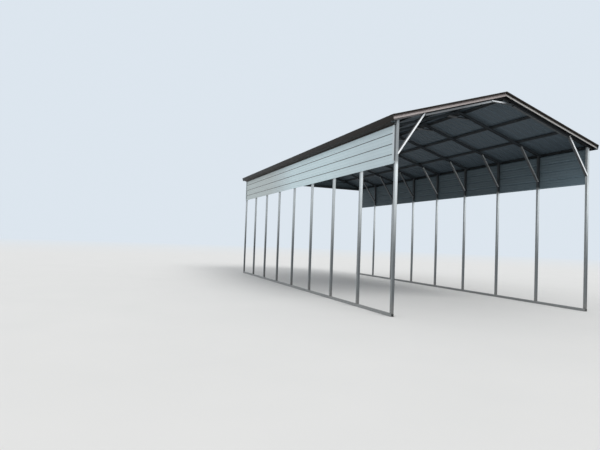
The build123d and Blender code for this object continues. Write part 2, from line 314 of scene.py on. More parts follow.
def screws(name, places, outward, finishes):
    """Hex screws on washers: four rings of 12 points round each outward line. A washer's rings are
    circles, and a head's radius is half its width over the cosine of the angle from its nearest flat."""
    places = np.asarray(places, float).reshape(-1, 3)
    outward = np.broadcast_to(np.asarray(outward, float), places.shape)
    turn = np.arange(screw_columns) * 2 * np.pi / screw_columns
    six = head_flat / np.cos((turn + np.pi / 6) % (np.pi / 3) - np.pi / 6)
    rings = (
        (washer_radius, -washer_sunk),
        (washer_edge, washer_top),
        (six * head_flare, head_foot),
        (six, head_top),
    )
    radius = np.stack([np.broadcast_to(r, turn.shape) for r, _ in rings])
    height = np.array([h for _, h in rings])[:, None]
    across, beside = around(outward)
    spin = np.arange(len(places))[:, None, None] * screw_turn
    cosine = (radius * np.cos(turn + spin))[..., None]
    sine = (radius * np.sin(turn + spin))[..., None]
    points = (
        places[:, None, None]
        + cosine * across[:, None, None]
        + sine * beside[:, None, None]
        + height[..., None] * outward[:, None, None]
    )
    faces = closed_tubes(len(places), len(rings), screw_columns)
    wall_finish = np.repeat([1, 0, 0], screw_columns)
    chosen = np.concatenate([np.tile(wall_finish, len(places)), np.tile([1, 0], len(places))])
    return piece(name, points, faces, finishes, chosen)


foot_places, foot_outward = [], []
for side in sides:
    for away in sides:
        for y in leg_ys:
            for height in foot_screw_heights:
                foot_places.append((side * leg_x + away * tube / 2, y, tube + height))
                foot_outward.append((away, 0, 0))
screws("leg_foot_screws", foot_places, foot_outward, (screw_steel, screw_steel))

# Bows: two rafters of the same square tube, mitred and welded at the ridge, and welded
# to the tops of the legs. Their corners are rolled round, and their tails are open.

slope = radians(16.9)
eave_height = 4.187
tube_wall = 0.0019
corner_radius = 0.0045
corner_points = 4
mitre_gap = 0.0005
ridge_z = eave_height + half_width * tan(slope) + tube / cos(slope)
tail_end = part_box("bow_1")[1].x / cos(slope)
weld_radius = 0.0032
weld_drop = 0.010
weld_inset = 0.003
weld_rows = 15
weld_columns = 8

# The bows' zinc is written near black as painted shade under the roof, darker still on undersides.
bow_light = (0.062, 0.072, 0.080, 1)
bow_dark = (0.032, 0.039, 0.045, 1)
bow_shade_tone = (0.010, 0.012, 0.014, 1)
# The front bow's zinc is written paler than the other bows' as painted light, with painted shade from the
# rake trim over most of it.
front_light = (0.270, 0.255, 0.258, 1)
front_dark = (0.200, 0.190, 0.193, 1)
front_lit_from = 2.45


def facing_down(place, normal):
    """Most on undersides, which hardly any light reaches, and the same at every place."""
    return limited(axis_of(normal, "Z") * -1.6 - 0.4) * 0.85


def under_rake_trim(place, normal):
    """Most on the front bow, which the rake trim shades, but for its left end, and on undersides."""
    shaded = limited((axis_of(place, "X") + front_lit_from) * 3)
    return limited(facing_down(place, normal) + shaded * 0.94)


bow_zinc = galvanised(
    "bow_zinc", bow_light, bow_dark,
    metallic=0.15, roughness=0.6, shade_mask=facing_down, shade_to_colour=bow_shade_tone, gloss=0.05,
)
front_zinc = galvanised(
    "front_bow_zinc", front_light, front_dark,
    metallic=0.35, roughness=0.5, shade_mask=under_rake_trim, shade_to_colour=bow_shade_tone, gloss=0.2,
)


def on_slope(side, along, above, y):
    """Points on a roof slope, along down it from the ridge and above off the bows: x is along times the
    cosine of the slope plus above times its sine, and z is the ridge's height less along times the sine
    plus above times the cosine."""
    along, above, y = np.broadcast_arrays(along, above, y)
    x = along * cos(slope) + above * sin(slope)
    z = ridge_z - along * sin(slope) + above * cos(slope)
    return np.stack([side * x, y, z], -1)


def round_square(width, radius):
    """Outline of a square tube: a quarter circle of points round each corner's own centre."""
    turn = np.linspace(0, np.pi / 2, corner_points)
    quarter = np.arange(4)[:, None] * np.pi / 2
    centre = (width / 2 - radius) * sqrt(2)
    x = centre * np.cos(quarter + np.pi / 4) + radius * np.cos(quarter + turn)
    y = centre * np.sin(quarter + np.pi / 4) + radius * np.sin(quarter + turn)
    return np.stack([x.ravel(), y.ravel()], -1)


outer_wall = round_square(tube, corner_radius)
inner_wall = round_square(tube - 2 * tube_wall, corner_radius - tube_wall)


def rafter(side, y):
    """Tube down a slope: each point of its walls starts on the mitre plane at the ridge, where x is half
    the gap, and ends at the tail."""
    rings = []
    for wall in (outer_wall, inner_wall):
        above = wall[:, 1] - tube / 2
        start = (mitre_gap / 2 - above * sin(slope)) / cos(slope)
        rings.append((on_slope(side, start, above, y + wall[:, 0]), above, wall[:, 0]))
    tails = [on_slope(side, tail_end, above, y + across) for _, above, across in rings]
    return np.stack([rings[0][0], tails[0], tails[1], rings[1][0]])


rafter_faces = grid_faces(4, len(outer_wall), round_rows=True, round_columns=True)
pair_faces = np.concatenate([rafter_faces, rafter_faces + 4 * len(outer_wall)]).tolist()
for number, leg_y in enumerate(leg_ys, 1):
    pair = np.stack([rafter(side, leg_y) for side in sides])
    finish = front_zinc if number == 1 else bow_zinc
    bow = piece(f"bow_tube_{number}", pair, pair_faces, [finish])
    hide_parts(f"bow_{number}")


def welds(name, starts, ends, finish):
    """Beads along straight joints: tubes whose radius swells from 0.8 of its most to all of it with the
    size of a sine, in drops 10 mm apart, and fades at both ends by the eighth power of the distance from
    the middle."""
    starts, ends = np.asarray(starts, float), np.asarray(ends, float)
    run = ends - starts
    length = np.linalg.norm(run, axis=1)
    across, beside = around(run / length[:, None])
    place = np.linspace(0, 1, weld_rows)
    swell = 0.8 + 0.2 * np.abs(np.sin(np.pi * place * length[:, None] / weld_drop + 0.4))
    radius = weld_radius * swell * (0.15 + 0.85 * (1 - (2 * place - 1) ** 8))
    turn = np.arange(weld_columns) * 2 * np.pi / weld_columns
    ring = across[:, None] * np.cos(turn)[:, None] + beside[:, None] * np.sin(turn)[:, None]
    middle = starts[:, None] + place[:, None] * run[:, None]
    points = middle[:, :, None] + radius[:, :, None, None] * ring[:, None]
    faces = closed_tubes(len(run), weld_rows, weld_columns)
    return piece(name, points, faces, [finish], sharp=70.0)


def under_bow(x):
    """Height of the bows' underside: its height at the ridge line, less the distance from there times
    the tangent of the slope."""
    return ridge_z - tube / cos(slope) - abs(x) * tan(slope)


ridge_foot = under_bow(0)
mitre_starts = [(0, y + way * tube / 2, ridge_foot + weld_inset) for y in leg_ys for way in sides]
mitre_ends = [(0, y + way * tube / 2, ridge_z - weld_inset) for y in leg_ys for way in sides]
mitre_starts += [(0, y - tube / 2 + weld_inset, ridge_foot) for y in leg_ys]
mitre_ends += [(0, y + tube / 2 - weld_inset, ridge_foot) for y in leg_ys]
welds("mitre_welds", mitre_starts, mitre_ends, bow_zinc)

outer_x, inner_x = leg_x + tube / 2, leg_x - tube / 2
first_x, last_x = inner_x + weld_inset, outer_x - weld_inset
seat_starts, seat_ends = [], []
for side in sides:
    for y in leg_ys:
        for way in sides:
            seat_starts.append((side * first_x, y + way * tube / 2, under_bow(first_x)))
            seat_ends.append((side * last_x, y + way * tube / 2, under_bow(last_x)))
        for x in (inner_x, outer_x):
            seat_starts.append((side * x, y - tube / 2 + weld_inset, under_bow(x)))
            seat_ends.append((side * x, y + tube / 2 - weld_inset, under_bow(x)))
welds("seat_welds", seat_starts, seat_ends, bow_zinc)

# Braces: zinc channels whose sides straddle the tubes, held by pairs of self drilling
# screws through each side, and channels welded on under the front bow. Their zinc is
# written bright as painted light, with painted shade further in and on the webs.

brace_light = (0.97, 0.975, 0.97, 1)
brace_dark = (0.84, 0.85, 0.855, 1)
brace_steel = 0.0019
brace_clearance = 0.0003
knee_drop = 0.705
knee_reach = 0.633
# The most shade painted on a brace.
brace_shade_most = 0.97


def deep_inside(place, normal):
    """How much shade is painted on a brace: hardly any on the front brace's front side, a little on the
    sides of the next four, the less the further in, and most past those, on webs and on the front ones'
    far sides. Where there is little, the bright zinc stands as painted light."""
    inward = axis_of(place, "Y") + half_length
    depth = inward / (2 * half_length)
    first = limited(1 - depth * 12)
    behind = limited((inward - tube * 0.6) * 80) * first
    plate = limited(abs(axis_of(normal, "Y")) * 2 - 0.6)
    bright = limited(0.62 + depth * 0.7) * limited((0.6 - depth) * 12) + first * 0.36
    return brace_shade_most - plate * bright * (1 - behind * 0.8)


def deep_or_right(place, normal):
    """The same, and dull on the right of the ridge and behind the front bow, where the roof shades it."""
    right = limited(axis_of(place, "X") * 5 + 0.5)
    behind = limited(axis_of(place, "Y") + half_length - 3 * tube) * 0.55
    return limited(deep_inside(place, normal) + right + behind)


def under_front_bow(place, normal):
    """The same for the channels under the front bow, with more painted shade the further from the ridge."""
    out = limited(abs(axis_of(place, "X")) / half_width)
    return limited(deep_or_right(place, normal) + limited(out * 1.3 + 0.24, 0.0, 0.76))


for name, shade_mask, nodes in (
    ("knee_zinc", deep_inside, ("knee_braces_left", "knee_braces_right")),
    ("peak_zinc", deep_or_right, ("peak_braces",)),
    ("channel_zinc", under_front_bow, ("bow_channels",)),
):
    brace_zinc = galvanised(
        name, brace_light, brace_dark, metallic=0.55, roughness=0.34, shade_mask=shade_mask
    )
    finish_nodes(nodes, brace_zinc)

brace_side = tube / 2 + brace_clearance + brace_steel
knee_foot = np.array([inner_x, eave_height - knee_drop])
knee_head = np.array([inner_x - knee_reach, under_bow(inner_x - knee_reach)])
knee_line = (knee_head - knee_foot) / np.linalg.norm(knee_head - knee_foot)
knee_screws = [
    end + knee_line * along + np.array(shift)
    for end, along, shift in (
        (knee_foot, -0.010, (0.002, 0.010)),
        (knee_foot, 0.006, (0.012, 0.000)),
        (knee_head, 0.010, (0.004, 0.006)),
        (knee_head, -0.004, (-0.012, 0.010)),
    )
]
brace_places, brace_outward = [], []
for y in leg_ys[:-1]:
    for way in sides:
        for side in sides:
            for x, z in knee_screws:
                brace_places.append((side * x, y + way * brace_side, z))
                brace_outward.append((0, way, 0))
screws("knee_brace_screws", brace_places, brace_outward, (screw_steel, screw_steel))

# Hat channels: folded strips of zinc coated sheet along the roof, flanges down on the
# bows and screwed to them, which carry the roof sheets.

# The channels' zinc is written near black as painted shade under the roof, darkest on undersides.
shade_light = (0.085, 0.095, 0.102, 1)
shade_dark = (0.045, 0.052, 0.058, 1)
shade_deep_tone = (0.019, 0.023, 0.027, 1)
shade_zinc = galvanised(
    "shade_zinc", shade_light, shade_dark,
    metallic=0.35, roughness=0.5, shade_mask=facing_down, shade_to_colour=shade_deep_tone, gloss=0.2,
)
finish_nodes(("hat_channels_left", "hat_channels_right"), shade_zinc)

hat_height = 0.0381
hat_steel = 0.0012
hat_rows = 4
first_hat = 0.150
last_hat = 0.062
hat_splay = 0.0095
flange_middle = 0.010
flange_screw = hat_height / 2 + hat_splay + flange_middle
hat_places = np.linspace(first_hat, tail_end - last_hat, hat_rows)


def off_slope(side):
    """Direction square to a roof slope: the slope's sine outwards and its cosine up."""
    return side * sin(slope), 0, cos(slope)


flange_places, flange_outward = [], []
for side in sides:
    for along in hat_places:
        for reach in (-flange_screw, flange_screw):
            flange_places.append(on_slope(side, along + reach, hat_steel, leg_ys))
            flange_outward.append(np.tile(off_slope(side), (len(leg_ys), 1)))
flange_places, flange_outward = np.concatenate(flange_places), np.concatenate(flange_outward)
screws("hat_channel_screws", flange_places, flange_outward, (screw_steel, screw_steel))

# Roof sheets: ribbed steel one yard wide, each lapped rib over rib on the one before and
# screwed to the hat channels. Dark brown paint on top, a grey backing coat underneath.

rib_pitch = 0.2286
rib_height = 0.01905
rib_base = 0.052
rib_top = 0.022
dust_colour = (0.36, 0.33, 0.29, 1)
# Dark grey for the shade painted on what faces down.
underside_shade_tone = (0.045, 0.048, 0.050, 1)
brown = (0.050, 0.036, 0.031, 1)
brown_faded = (0.085, 0.064, 0.056, 1)
# The backing coat is written dark as painted shade under the roof; its paler rib colour is painted light.
backing = (0.051, 0.071, 0.087, 1)
backing_faded = (0.064, 0.086, 0.104, 1)
backing_rib_lit = (0.130, 0.174, 0.210, 1)
backing_roughness = 0.6
backing_gloss = 0.2
weather_per_metre = 1.7
streaks_per_metre = 3.0
peel_per_metre = 180.0
peel_relief = 0.0002
down_the_roof = (0.7, 9, 2)


def painted(name, colour, faded, roughness, stretch, gloss=0.5, down_shade_amount=0.0, tinted=None):
    """Baked paint on sheet steel: finely uneven, chalked a little in streaks, dusty on what faces up, and
    darkened with painted shade on what faces down, as much as asked for.

    Where the coat's colour changes from place to place, tinted gives it for a place and a colour.
    """
    paint = Finish(bpy.data.materials.new(name))
    place = paint.node("TexCoord", output="Object")
    clouds = noise(place, evenly, weather_per_metre, detail=4.0, roughness=0.6)
    streaks = noise(place, stretch, streaks_per_metre, detail=4.0, roughness=0.6)
    peel = noise(place, evenly, peel_per_metre, detail=2.0)
    up = axis_of(paint.node("NewGeometry", output="Normal"), "Z")
    dust = limited(up * 0.5) * limited(streaks * 1.4 - 0.3)
    aged = blend(limited(clouds * 0.8 + streaks * 0.9 - 0.45), colour, faded)
    if tinted:
        aged = tinted(place, aged)
    if down_shade_amount:
        aged = blend(limited(up * -2.2 - 0.25) * down_shade_amount, aged, underside_shade_tone)
    return paint.surface(
        Base_Color=blend(dust * 0.35, aged, dust_colour),
        Roughness=roughness + (clouds - 0.5) * 0.12 + dust * 0.2,
        Specular_IOR_Level=gloss,
        Normal=paint.node("Bump", None, {"Height": peel, "Strength": 0.3, "Distance": peel_relief}),
    )


def inside_ribs(along):
    """1 inside the ribs and 0 under the flats, from how near a place is to the middle of its rib."""
    near = along.math("PINGPONG", along, rib_pitch / 2)
    return ramp(near, rib_base * 0.62, rib_base * 0.42)


def lighter_roof_ribs(place, colour):
    """Painted light: the backing coat is paler inside the roof's ribs, to lift the shade in them."""
    return blend(inside_ribs(axis_of(place, "Y")) * 0.33, colour, backing_rib_lit)


roof_paint = painted("brown_roof_paint", brown, brown_faded, 0.42, down_the_roof, gloss=0.3)
roof_backing = painted(
    "grey_backing_coat", backing, backing_faded,
    backing_roughness, down_the_roof, backing_gloss, tinted=lighter_roof_ribs,
)

rubber_black = (0.02, 0.02, 0.02, 1)
rubber_grey = (0.06, 0.06, 0.06, 1)
worn_per_metre = 60.0


def plain_rubber():
    """Black sealing washer, dulled a little by the weather."""
    rubber = Finish(bpy.data.materials.new("washer_rubber"))
    worn = noise(rubber.node("TexCoord", output="Object"), evenly, worn_per_metre)
    return rubber.surface(
        Base_Color=blend(worn, rubber_black, rubber_grey), Roughness=0.6 + worn * 0.3
    )


washer_rubber = plain_rubber()

sheet_steel = 0.0005
stiffener_height = 0.0024
stiffener_half = 0.010
wave_height = 0.0005
wave_edge = 0.020
ridge_gap = 0.025
pitches_per_sheet = 4
lap_reach = 0.004
lap_start = 0.012
lap_ramp = 0.010
roof_rows = 12
ribs_each_way = 27
screw_from_rib = 0.040
least_step = 0.0005
# Where the section turns, in millimetres from a rib's middle to half a pitch.
half_steps = np.array([0, 9, 12, 15, 18.5, 22, 25, 28, 66, 71, 76.2, 81, 86, 114.3]) / 1000
rib_steps = np.concatenate([half_steps, rib_pitch - half_steps[-2:0:-1]])

roof_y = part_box("roof_sheet_right")[1].y
rib_level = hat_height + sheet_steel + rib_height
slope_end = (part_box("roof_sheet_right")[1].x - rib_level * sin(slope)) / cos(slope)


def smooth(t):
    """0 below 0, 1 above 1, and 3 t squared less 2 t cubed between."""
    t = np.clip(t, 0, 1)
    return t * t * (3 - 2 * t)


def from_rib(u):
    """Distance from a place on the section to the middle of the nearest rib."""
    return np.abs((u + rib_pitch / 2) % rib_pitch - rib_pitch / 2)


def rib_rise(u):
    """Section of a ribbed sheet: a rib with soft shoulders at each pitch, and two low stiffeners between."""
    near = from_rib(u)
    rib = rib_height * smooth((rib_base / 2 - near) / (rib_base / 2 - rib_top / 2))
    return rib + stiffener_height * smooth(1 - np.abs(near - rib_pitch / 3) / stiffener_half)


def slow_waves(u, v):
    """Waves left in the flats of rolled sheet: three sines of unlike lengths across and along it, which
    only rise outwards and fade to nothing beside the ribs."""
    flat = smooth((from_rib(u) - rib_base / 2) / wave_edge)
    waves = np.sin(4.1 * v + 5.3 * u) + np.sin(6.7 * v - 2.9 * u + 1.3) + np.sin(2.3 * v + 11.0 * u + 4.0)
    return wave_height * flat * (0.5 + waves / 6)


def across_ribs(first, start, end):
    """Where the section is worked out from start to end: at the steps of every rib, counted from first."""
    counts = np.arange(int((start - first) / rib_pitch) - 2, int((end - first) / rib_pitch) + 2)
    places = (first + counts[:, None] * rib_pitch + rib_steps).ravel()
    inside = places[(places > start + least_step) & (places < end - least_step)]
    return np.concatenate([[start], inside, [end]])


def sheet_shell(outer, inner, front=0):
    """Closed shell of a sheet: each row of its outer grid and the same row of its inner one, backwards,
    make a ring, and strips close the first and the last. Front is the outer finish, and 1 the inner."""
    rows, columns = outer.shape[:2]
    rings = np.concatenate([outer, inner[:, ::-1]], axis=1)
    step = np.arange(columns - 1)
    strip = np.stack([step, step + 1, 2 * columns - 2 - step, 2 * columns - 1 - step], -1)
    closing = [row * 2 * columns + strip for row in (0, rows - 1)]
    faces = np.concatenate([grid_faces(rows, 2 * columns, round_columns=True)] + closing)
    around_ring = np.zeros(2 * columns, dtype=int)
    around_ring[: columns - 1] = front
    around_ring[columns : 2 * columns - 1] = 1
    chosen = np.concatenate([np.tile(around_ring, rows - 1), np.zeros(2 * (columns - 1), dtype=int)])
    return rings.reshape(-1, 3), faces, chosen


def joined(shells):
    """Points, faces and finishes of several shells one after another."""
    starts = np.cumsum([0] + [len(points) for points, _, _ in shells])
    points = np.concatenate([points for points, _, _ in shells])
    faces = np.concatenate([faces + start for (_, faces, _), start in zip(shells, starts)])
    return points, faces.tolist(), np.concatenate([chosen for _, _, chosen in shells])


def roof_panel(side, start, end):
    """One sheet of a slope, ribs down it: the section over y, raised by one steel over its last rib, which
    lies on the next sheet."""
    y = across_ribs(0.0, start, end)[None, :]
    along = np.linspace(ridge_gap, slope_end, roof_rows)[:, None]
    lapped = end < roof_y
    lift = sheet_steel * smooth((y - end + rib_base + lap_reach + lap_start) / lap_ramp) * lapped
    level = hat_height + rib_rise(y) + slow_waves(y, along + side) + lift
    return sheet_shell(on_slope(side, along, level + sheet_steel, y), on_slope(side, along, level, y))


rib_ys = np.arange(-ribs_each_way, ribs_each_way + 1) * rib_pitch
lap_ribs = rib_ys[pitches_per_sheet:-1:pitches_per_sheet]
panel_starts = np.concatenate([[-roof_y], lap_ribs - rib_base / 2 - lap_reach])
panel_ends = np.concatenate([lap_ribs + rib_base / 2 + lap_reach, [roof_y]])
named_sides = ((-1, "left"), (1, "right"))
for side, word in named_sides:
    panels = [roof_panel(side, start, end) for start, end in zip(panel_starts, panel_ends)]
    points, faces, chosen = joined(panels)
    finishes = [roof_paint, roof_backing]
    roof = piece(f"roof_panels_{word}", points, faces, finishes, chosen)
    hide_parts(f"roof_sheet_{word}")
    screw_y, screw_along = np.meshgrid(rib_ys[:-1] + screw_from_rib, hat_places)
    places = on_slope(side, screw_along, hat_height + sheet_steel, screw_y)
    screws(f"roof_screws_{word}", places, off_slope(side), (roof_paint, washer_rubber))

# Ridge cap: a folded brown strip over both slopes, in four lapped lengths, with a lip
# turned up along each wing and a screw into every second rib.

trim_steel = 0.0006
trim_clearance = 0.0005
trim_lengths = 4
trim_lap = 0.050
lap_step = 0.012
lap_level = rib_level + trim_steel
cap_wing = 0.190
cap_lip = 0.009
cap_fold = 0.008
cap_screw = 0.025
cap_sink = trim_steel * 0.95
cap_wing_x = cap_wing * cos(slope) + lap_level * sin(slope)
rounded_ridge = [0, 0.003, 0.007, 0.012, 0.020]
half_cap = np.array(rounded_ridge + [cap_wing_x, cap_wing_x + cap_lip])
cap_x = np.concatenate([-half_cap[:0:-1], half_cap])


def lapped_lengths(start, end):
    """Rows of each length of a trim, and how far each row is sunk under the next length, from 0 to 1."""
    ends = np.linspace(start, end, trim_lengths + 1)
    lengths = [
        (np.array([first, last - lap_step, last, last + trim_lap]), np.array([0.0, 0.0, 1.0, 1.0]))
        for first, last in zip(ends[:-2], ends[1:-1])
    ]
    return lengths + [(ends[-2:], np.zeros(2))]


def cap_level(x):
    """Height of the cap's underside: the slopes, their meeting rounded by the root of x squared and the
    fold squared, and past the wings a lip that rises by a third of x."""
    fall = tan(slope) * np.sqrt(x * x + cap_fold * cap_fold)
    lip = np.maximum(0, np.abs(x) - cap_wing_x) / 3
    return ridge_z + lap_level / cos(slope) - fall + lip


caps = []
for rows, sunk in lapped_lengths(-roof_y, roof_y):
    x, y = np.meshgrid(cap_x, rows)
    z = cap_level(x) - sunk[:, None] * cap_sink
    caps.append(sheet_shell(np.stack([x, y, z + trim_steel], -1), np.stack([x, y, z], -1)))
points, faces, chosen = joined(caps)
cap = piece("ridge_cap_lengths", points, faces, [roof_paint, roof_backing], chosen)
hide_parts("ridge_cap")
for side, word in named_sides:
    places = on_slope(side, cap_wing - cap_screw, lap_level + trim_steel, rib_ys[1:-1:2])
    screws(f"cap_screws_{word}", places, off_slope(side), (roof_paint, washer_rubber))

# Rake trims: folded brown strips down both gables, with a flange on the last rib, a nose
# round the edge of the sheet and a fascia set back over the ends of the channels, whose
# brown is painted paler as lit.

rake_flange = 0.100
nose_height = 0.026
fascia_setback = 0.062
fascia_height = 0.076
fascia_lean = 0.045
rake_hem = 0.009
rake_rows = 6
rake_first_screw = 0.30
rake_last_screw = 0.10
rake_screw_pitch = 0.38
fold_radius = 0.0022
fold_points = 4
rake_y = roof_y + trim_clearance
fascia_y = rake_y - fascia_setback
nose_level = rib_level - nose_height
foot_level = nose_level - fascia_height
foot_y = fascia_y + fascia_lean

trim_brown = (0.017, 0.0145, 0.012, 1)
trim_faded = (0.027, 0.022, 0.019, 1)
# The fascia's brown is written paler than the trim's as painted light, and the pair after it paler still as
# a painted highlight.
fascia_brown = (0.25, 0.215, 0.211, 1)
fascia_faded = (0.30, 0.264, 0.258, 1)
fascia_lit = (0.40, 0.39, 0.382, 1)
fascia_lit_faded = (0.46, 0.45, 0.44, 1)
fascia_roughness = 0.34
along_trims = (2, 2, 2)
trim_paint = painted("brown_trim_paint", trim_brown, trim_faded, 0.45, along_trims, gloss=0.1)
fascia_paint = painted("fascia_paint", fascia_brown, fascia_faded, fascia_roughness, along_trims)
fascia_pale = painted("fascia_paint_pale", fascia_lit, fascia_lit_faded, fascia_roughness, along_trims)


def folded(corners, steel, radius):
    """Both faces of a folded strip: circles' arcs stand in for the corners of its line, and the outer face
    is the line moved by a steel to its left."""
    corners = np.asarray(corners, float)
    run = np.diff(corners, axis=0)
    heading = np.arctan2(run[:, 1], run[:, 0])
    line, turned = [corners[:1]], [heading[:1]]
    for corner, before, after in zip(corners[1:-1], heading[:-1], heading[1:]):
        turn = (after - before + np.pi) % (2 * np.pi) - np.pi
        way = np.sign(turn)
        start = corner - radius * tan(abs(turn) / 2) * np.array([cos(before), sin(before)])
        centre = start + way * radius * np.array([-sin(before), cos(before)])
        angle = before + np.linspace(0, turn, fold_points)
        line.append(centre - way * radius * np.stack([-np.sin(angle), np.cos(angle)], -1))
        turned.append(angle)
    line = np.concatenate(line + [corners[-1:]])
    turned = np.concatenate(turned + [heading[-1:]])
    return line, line + steel * np.stack([-np.sin(turned), np.cos(turned)], -1)


rake_corners = [
    (rake_y - rake_flange, rib_level),
    (rake_y, rib_level),
    (rake_y, nose_level),
    (fascia_y, nose_level),
    (foot_y, foot_level),
    (foot_y - rake_hem, foot_level),
]
rake_inner, rake_outer = folded(rake_corners, trim_steel, fold_radius)
across_rake = np.arange(len(rake_inner) - 1)
on_fascia = (across_rake >= 3 * fold_points) & (across_rake < 4 * fold_points)


def rake_wing(side, way):
    """Half of a rake trim: its section carried from the mitre at the ridge down to the eave, with its
    fascia painted paler as lit, and paler still at the front right as a painted highlight."""
    faces = []
    for face in (rake_outer, rake_inner):
        y, above = way * face[:, 0], face[:, 1]
        start = (mitre_gap / 2 - above * sin(slope)) / cos(slope)
        share = np.linspace(0, 1, rake_rows)[:, None]
        faces.append(on_slope(side, start + share * (slope_end - start), above, y))
    return sheet_shell(*faces, on_fascia * (3 if side > way else 2))


rake_alongs = np.arange(rake_first_screw, slope_end - rake_last_screw, rake_screw_pitch)
for way, word in ((-1, "front"), (1, "rear")):
    points, faces, chosen = joined([rake_wing(side, way) for side in sides])
    finishes = [trim_paint, roof_backing, fascia_paint, fascia_pale]
    rake = piece(f"rake_folds_{word}", points, faces, finishes, chosen)
    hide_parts(f"rake_trim_{word}")
    rows = [on_slope(side, rake_alongs, rib_level + trim_steel, way * rib_ys[-1]) for side in sides]
    upwards = np.repeat([off_slope(side) for side in sides], len(rake_alongs), axis=0)
    finishes = (trim_paint, washer_rubber)
    screws(f"rake_screws_{word}", np.concatenate(rows), upwards, finishes)

# Eave trims: folded brown strips in lapped lengths, over the edge of the sheets, round the
# tails of the bows and back to the side panel, with only a lip past the panel's ends.

eave_flange = 0.062
eave_fascia = 0.124
eave_screw = 0.030
eave_lip = 0.014
soffit_fall = 0.028
soffit_hem = 0.026
eave_out = slope_end + trim_clearance
start_x, _, start_z = on_slope(1, eave_out - eave_flange, lap_level, 0)
tip_x, _, tip_z = on_slope(1, eave_out, lap_level, 0)
fold_x, _, fold_z = on_slope(1, eave_out, lap_level - eave_fascia, 0)
side_rib_x = half_width + sheet_steel + rib_height
hem_x = side_rib_x + trim_clearance
lip_z = fold_z - soffit_fall * eave_lip / (fold_x - hem_x)
side_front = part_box("side_panel_left")[0].y
side_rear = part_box("side_panel_left")[1].y
over_edge = [(start_x, start_z), (tip_x, tip_z), (fold_x, fold_z)]
boxed = over_edge + [(hem_x, fold_z - soffit_fall), (hem_x, fold_z - soffit_fall - soffit_hem)]
lipped = over_edge + [(fold_x - eave_lip, lip_z)]


def trim_run(side, corners, rows, sunk):
    """Folded strip along y: its section at each row, moved inwards by a steel where it is sunk under the
    next length."""
    inner, outer = folded(corners, trim_steel, fold_radius)
    move = (outer - inner)[None] * sunk[:, None, None]
    faces = []
    for face in (outer, inner):
        section = face[None] - move
        y = np.broadcast_to(rows[:, None], section.shape[:2])
        faces.append(np.stack([side * section[..., 0], y, section[..., 1]], -1))
    return sheet_shell(*faces)


eave_start, eave_end = side_front - trim_clearance, side_rear + trim_clearance
for side, word in named_sides:
    runs = [trim_run(side, boxed, rows, sunk) for rows, sunk in lapped_lengths(eave_start, eave_end)]
    for ends in ([-roof_y, eave_start], [eave_end, roof_y]):
        runs.append(trim_run(side, lipped, np.array(ends), np.zeros(2)))
    points, faces, chosen = joined(runs)
    finishes = [trim_paint, roof_backing]
    eave = piece(f"eave_folds_{word}", points, faces, finishes, chosen)
    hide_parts(f"eave_trim_{word}")
    places = on_slope(side, eave_out - eave_screw, lap_level + trim_steel, rib_ys[1:-1:2])
    screws(f"eave_screws_{word}", places, off_slope(side), (trim_paint, washer_rubber))

# Side panels: the same ribbed sheet laid level along the top of the legs, white outside
# and grey inside, in two lengths that lap on the middle leg, screwed to every leg but
# the corner ones.

# The white paint is written bluish grey as painted shade: white lit only by the sky.
white = (0.54, 0.655, 0.70, 1)
white_faded = (0.51, 0.60, 0.635, 1)
# Painted light and shade along the siding: a brighter white, and a darker greenish grey.
white_lit = (0.62, 0.765, 0.805, 1)
white_rear_shade = (0.445, 0.485, 0.465, 1)
white_roughness = 0.38
# The inside backing is written dark as painted shade under the roof; its paler colour is painted light.
wall_grey = (0.093, 0.125, 0.144, 1)
wall_grey_faded = (0.109, 0.143, 0.162, 1)
wall_grey_lit = (0.21, 0.30, 0.36, 1)
brightest_from = (-5.2, -2.6)
brightest_until = (1.6, 0.2)
rear_shade_from = (0.2, 2.6)
lit_from = (-2.6, -5.6)
down_the_wall = (9, 9, 0.7)
side_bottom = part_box("side_panel_left")[0].z
side_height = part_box("side_panel_left")[1].z - side_bottom
side_rows = 22
side_ribs = 4
side_lap = 0.040
side_lap_start = 0.30
side_lap_ramp = 0.10
side_screw = 0.042


def lit_and_shaded_along(place, colour):
    """Painted light and shade along the siding: it is brightest ahead of the middle, and a darker,
    greenish grey towards the rear."""
    along = axis_of(place, "Y")
    brightest = ramp(along, *brightest_from) * ramp(along, *brightest_until)
    return blend(ramp(along, *rear_shade_from) * 0.75, blend(brightest * 0.8, colour, white_lit), white_rear_shade)


def lighter_wall_coat(place, colour):
    """Painted light: the backing coat is a little paler inside the siding's ribs, and low down towards
    the open front.
    """
    along = axis_of(place, "Z") - side_bottom
    front = ramp(axis_of(place, "Y"), *lit_from)
    low = limited(1 - along / side_height)
    paler = inside_ribs(along) * 0.10 + front * (0.04 + low * 0.36)
    return blend(limited(paler), colour, wall_grey_lit)


# Painted shade darkens what faces down, under the siding's ribs.
wall_paint = painted(
    "white_wall_paint", white, white_faded,
    white_roughness, down_the_wall, down_shade_amount=0.9, tinted=lit_and_shaded_along,
)
wall_backing = painted(
    "grey_wall_backing", wall_grey, wall_grey_faded,
    backing_roughness, down_the_wall, backing_gloss, tinted=lighter_wall_coat,
)


def side_length(side, start, end, lapped):
    """One length of siding, ribs along it: the section over the height, raised by a steel where it laps
    over the next length."""
    u = across_ribs(0.0, 0.0, side_height)[None, :]
    y = np.linspace(start, end, side_rows)[:, None]
    lift = sheet_steel * smooth((y - end + side_lap_start) / side_lap_ramp) * lapped
    level = half_width + rib_rise(u) + slow_waves(u, y + 3 * side) + lift
    y, z = np.broadcast_arrays(y, side_bottom + u)
    faces = [np.stack([side * x, y, z], -1) for x in (level + sheet_steel, level)]
    return sheet_shell(*faces)


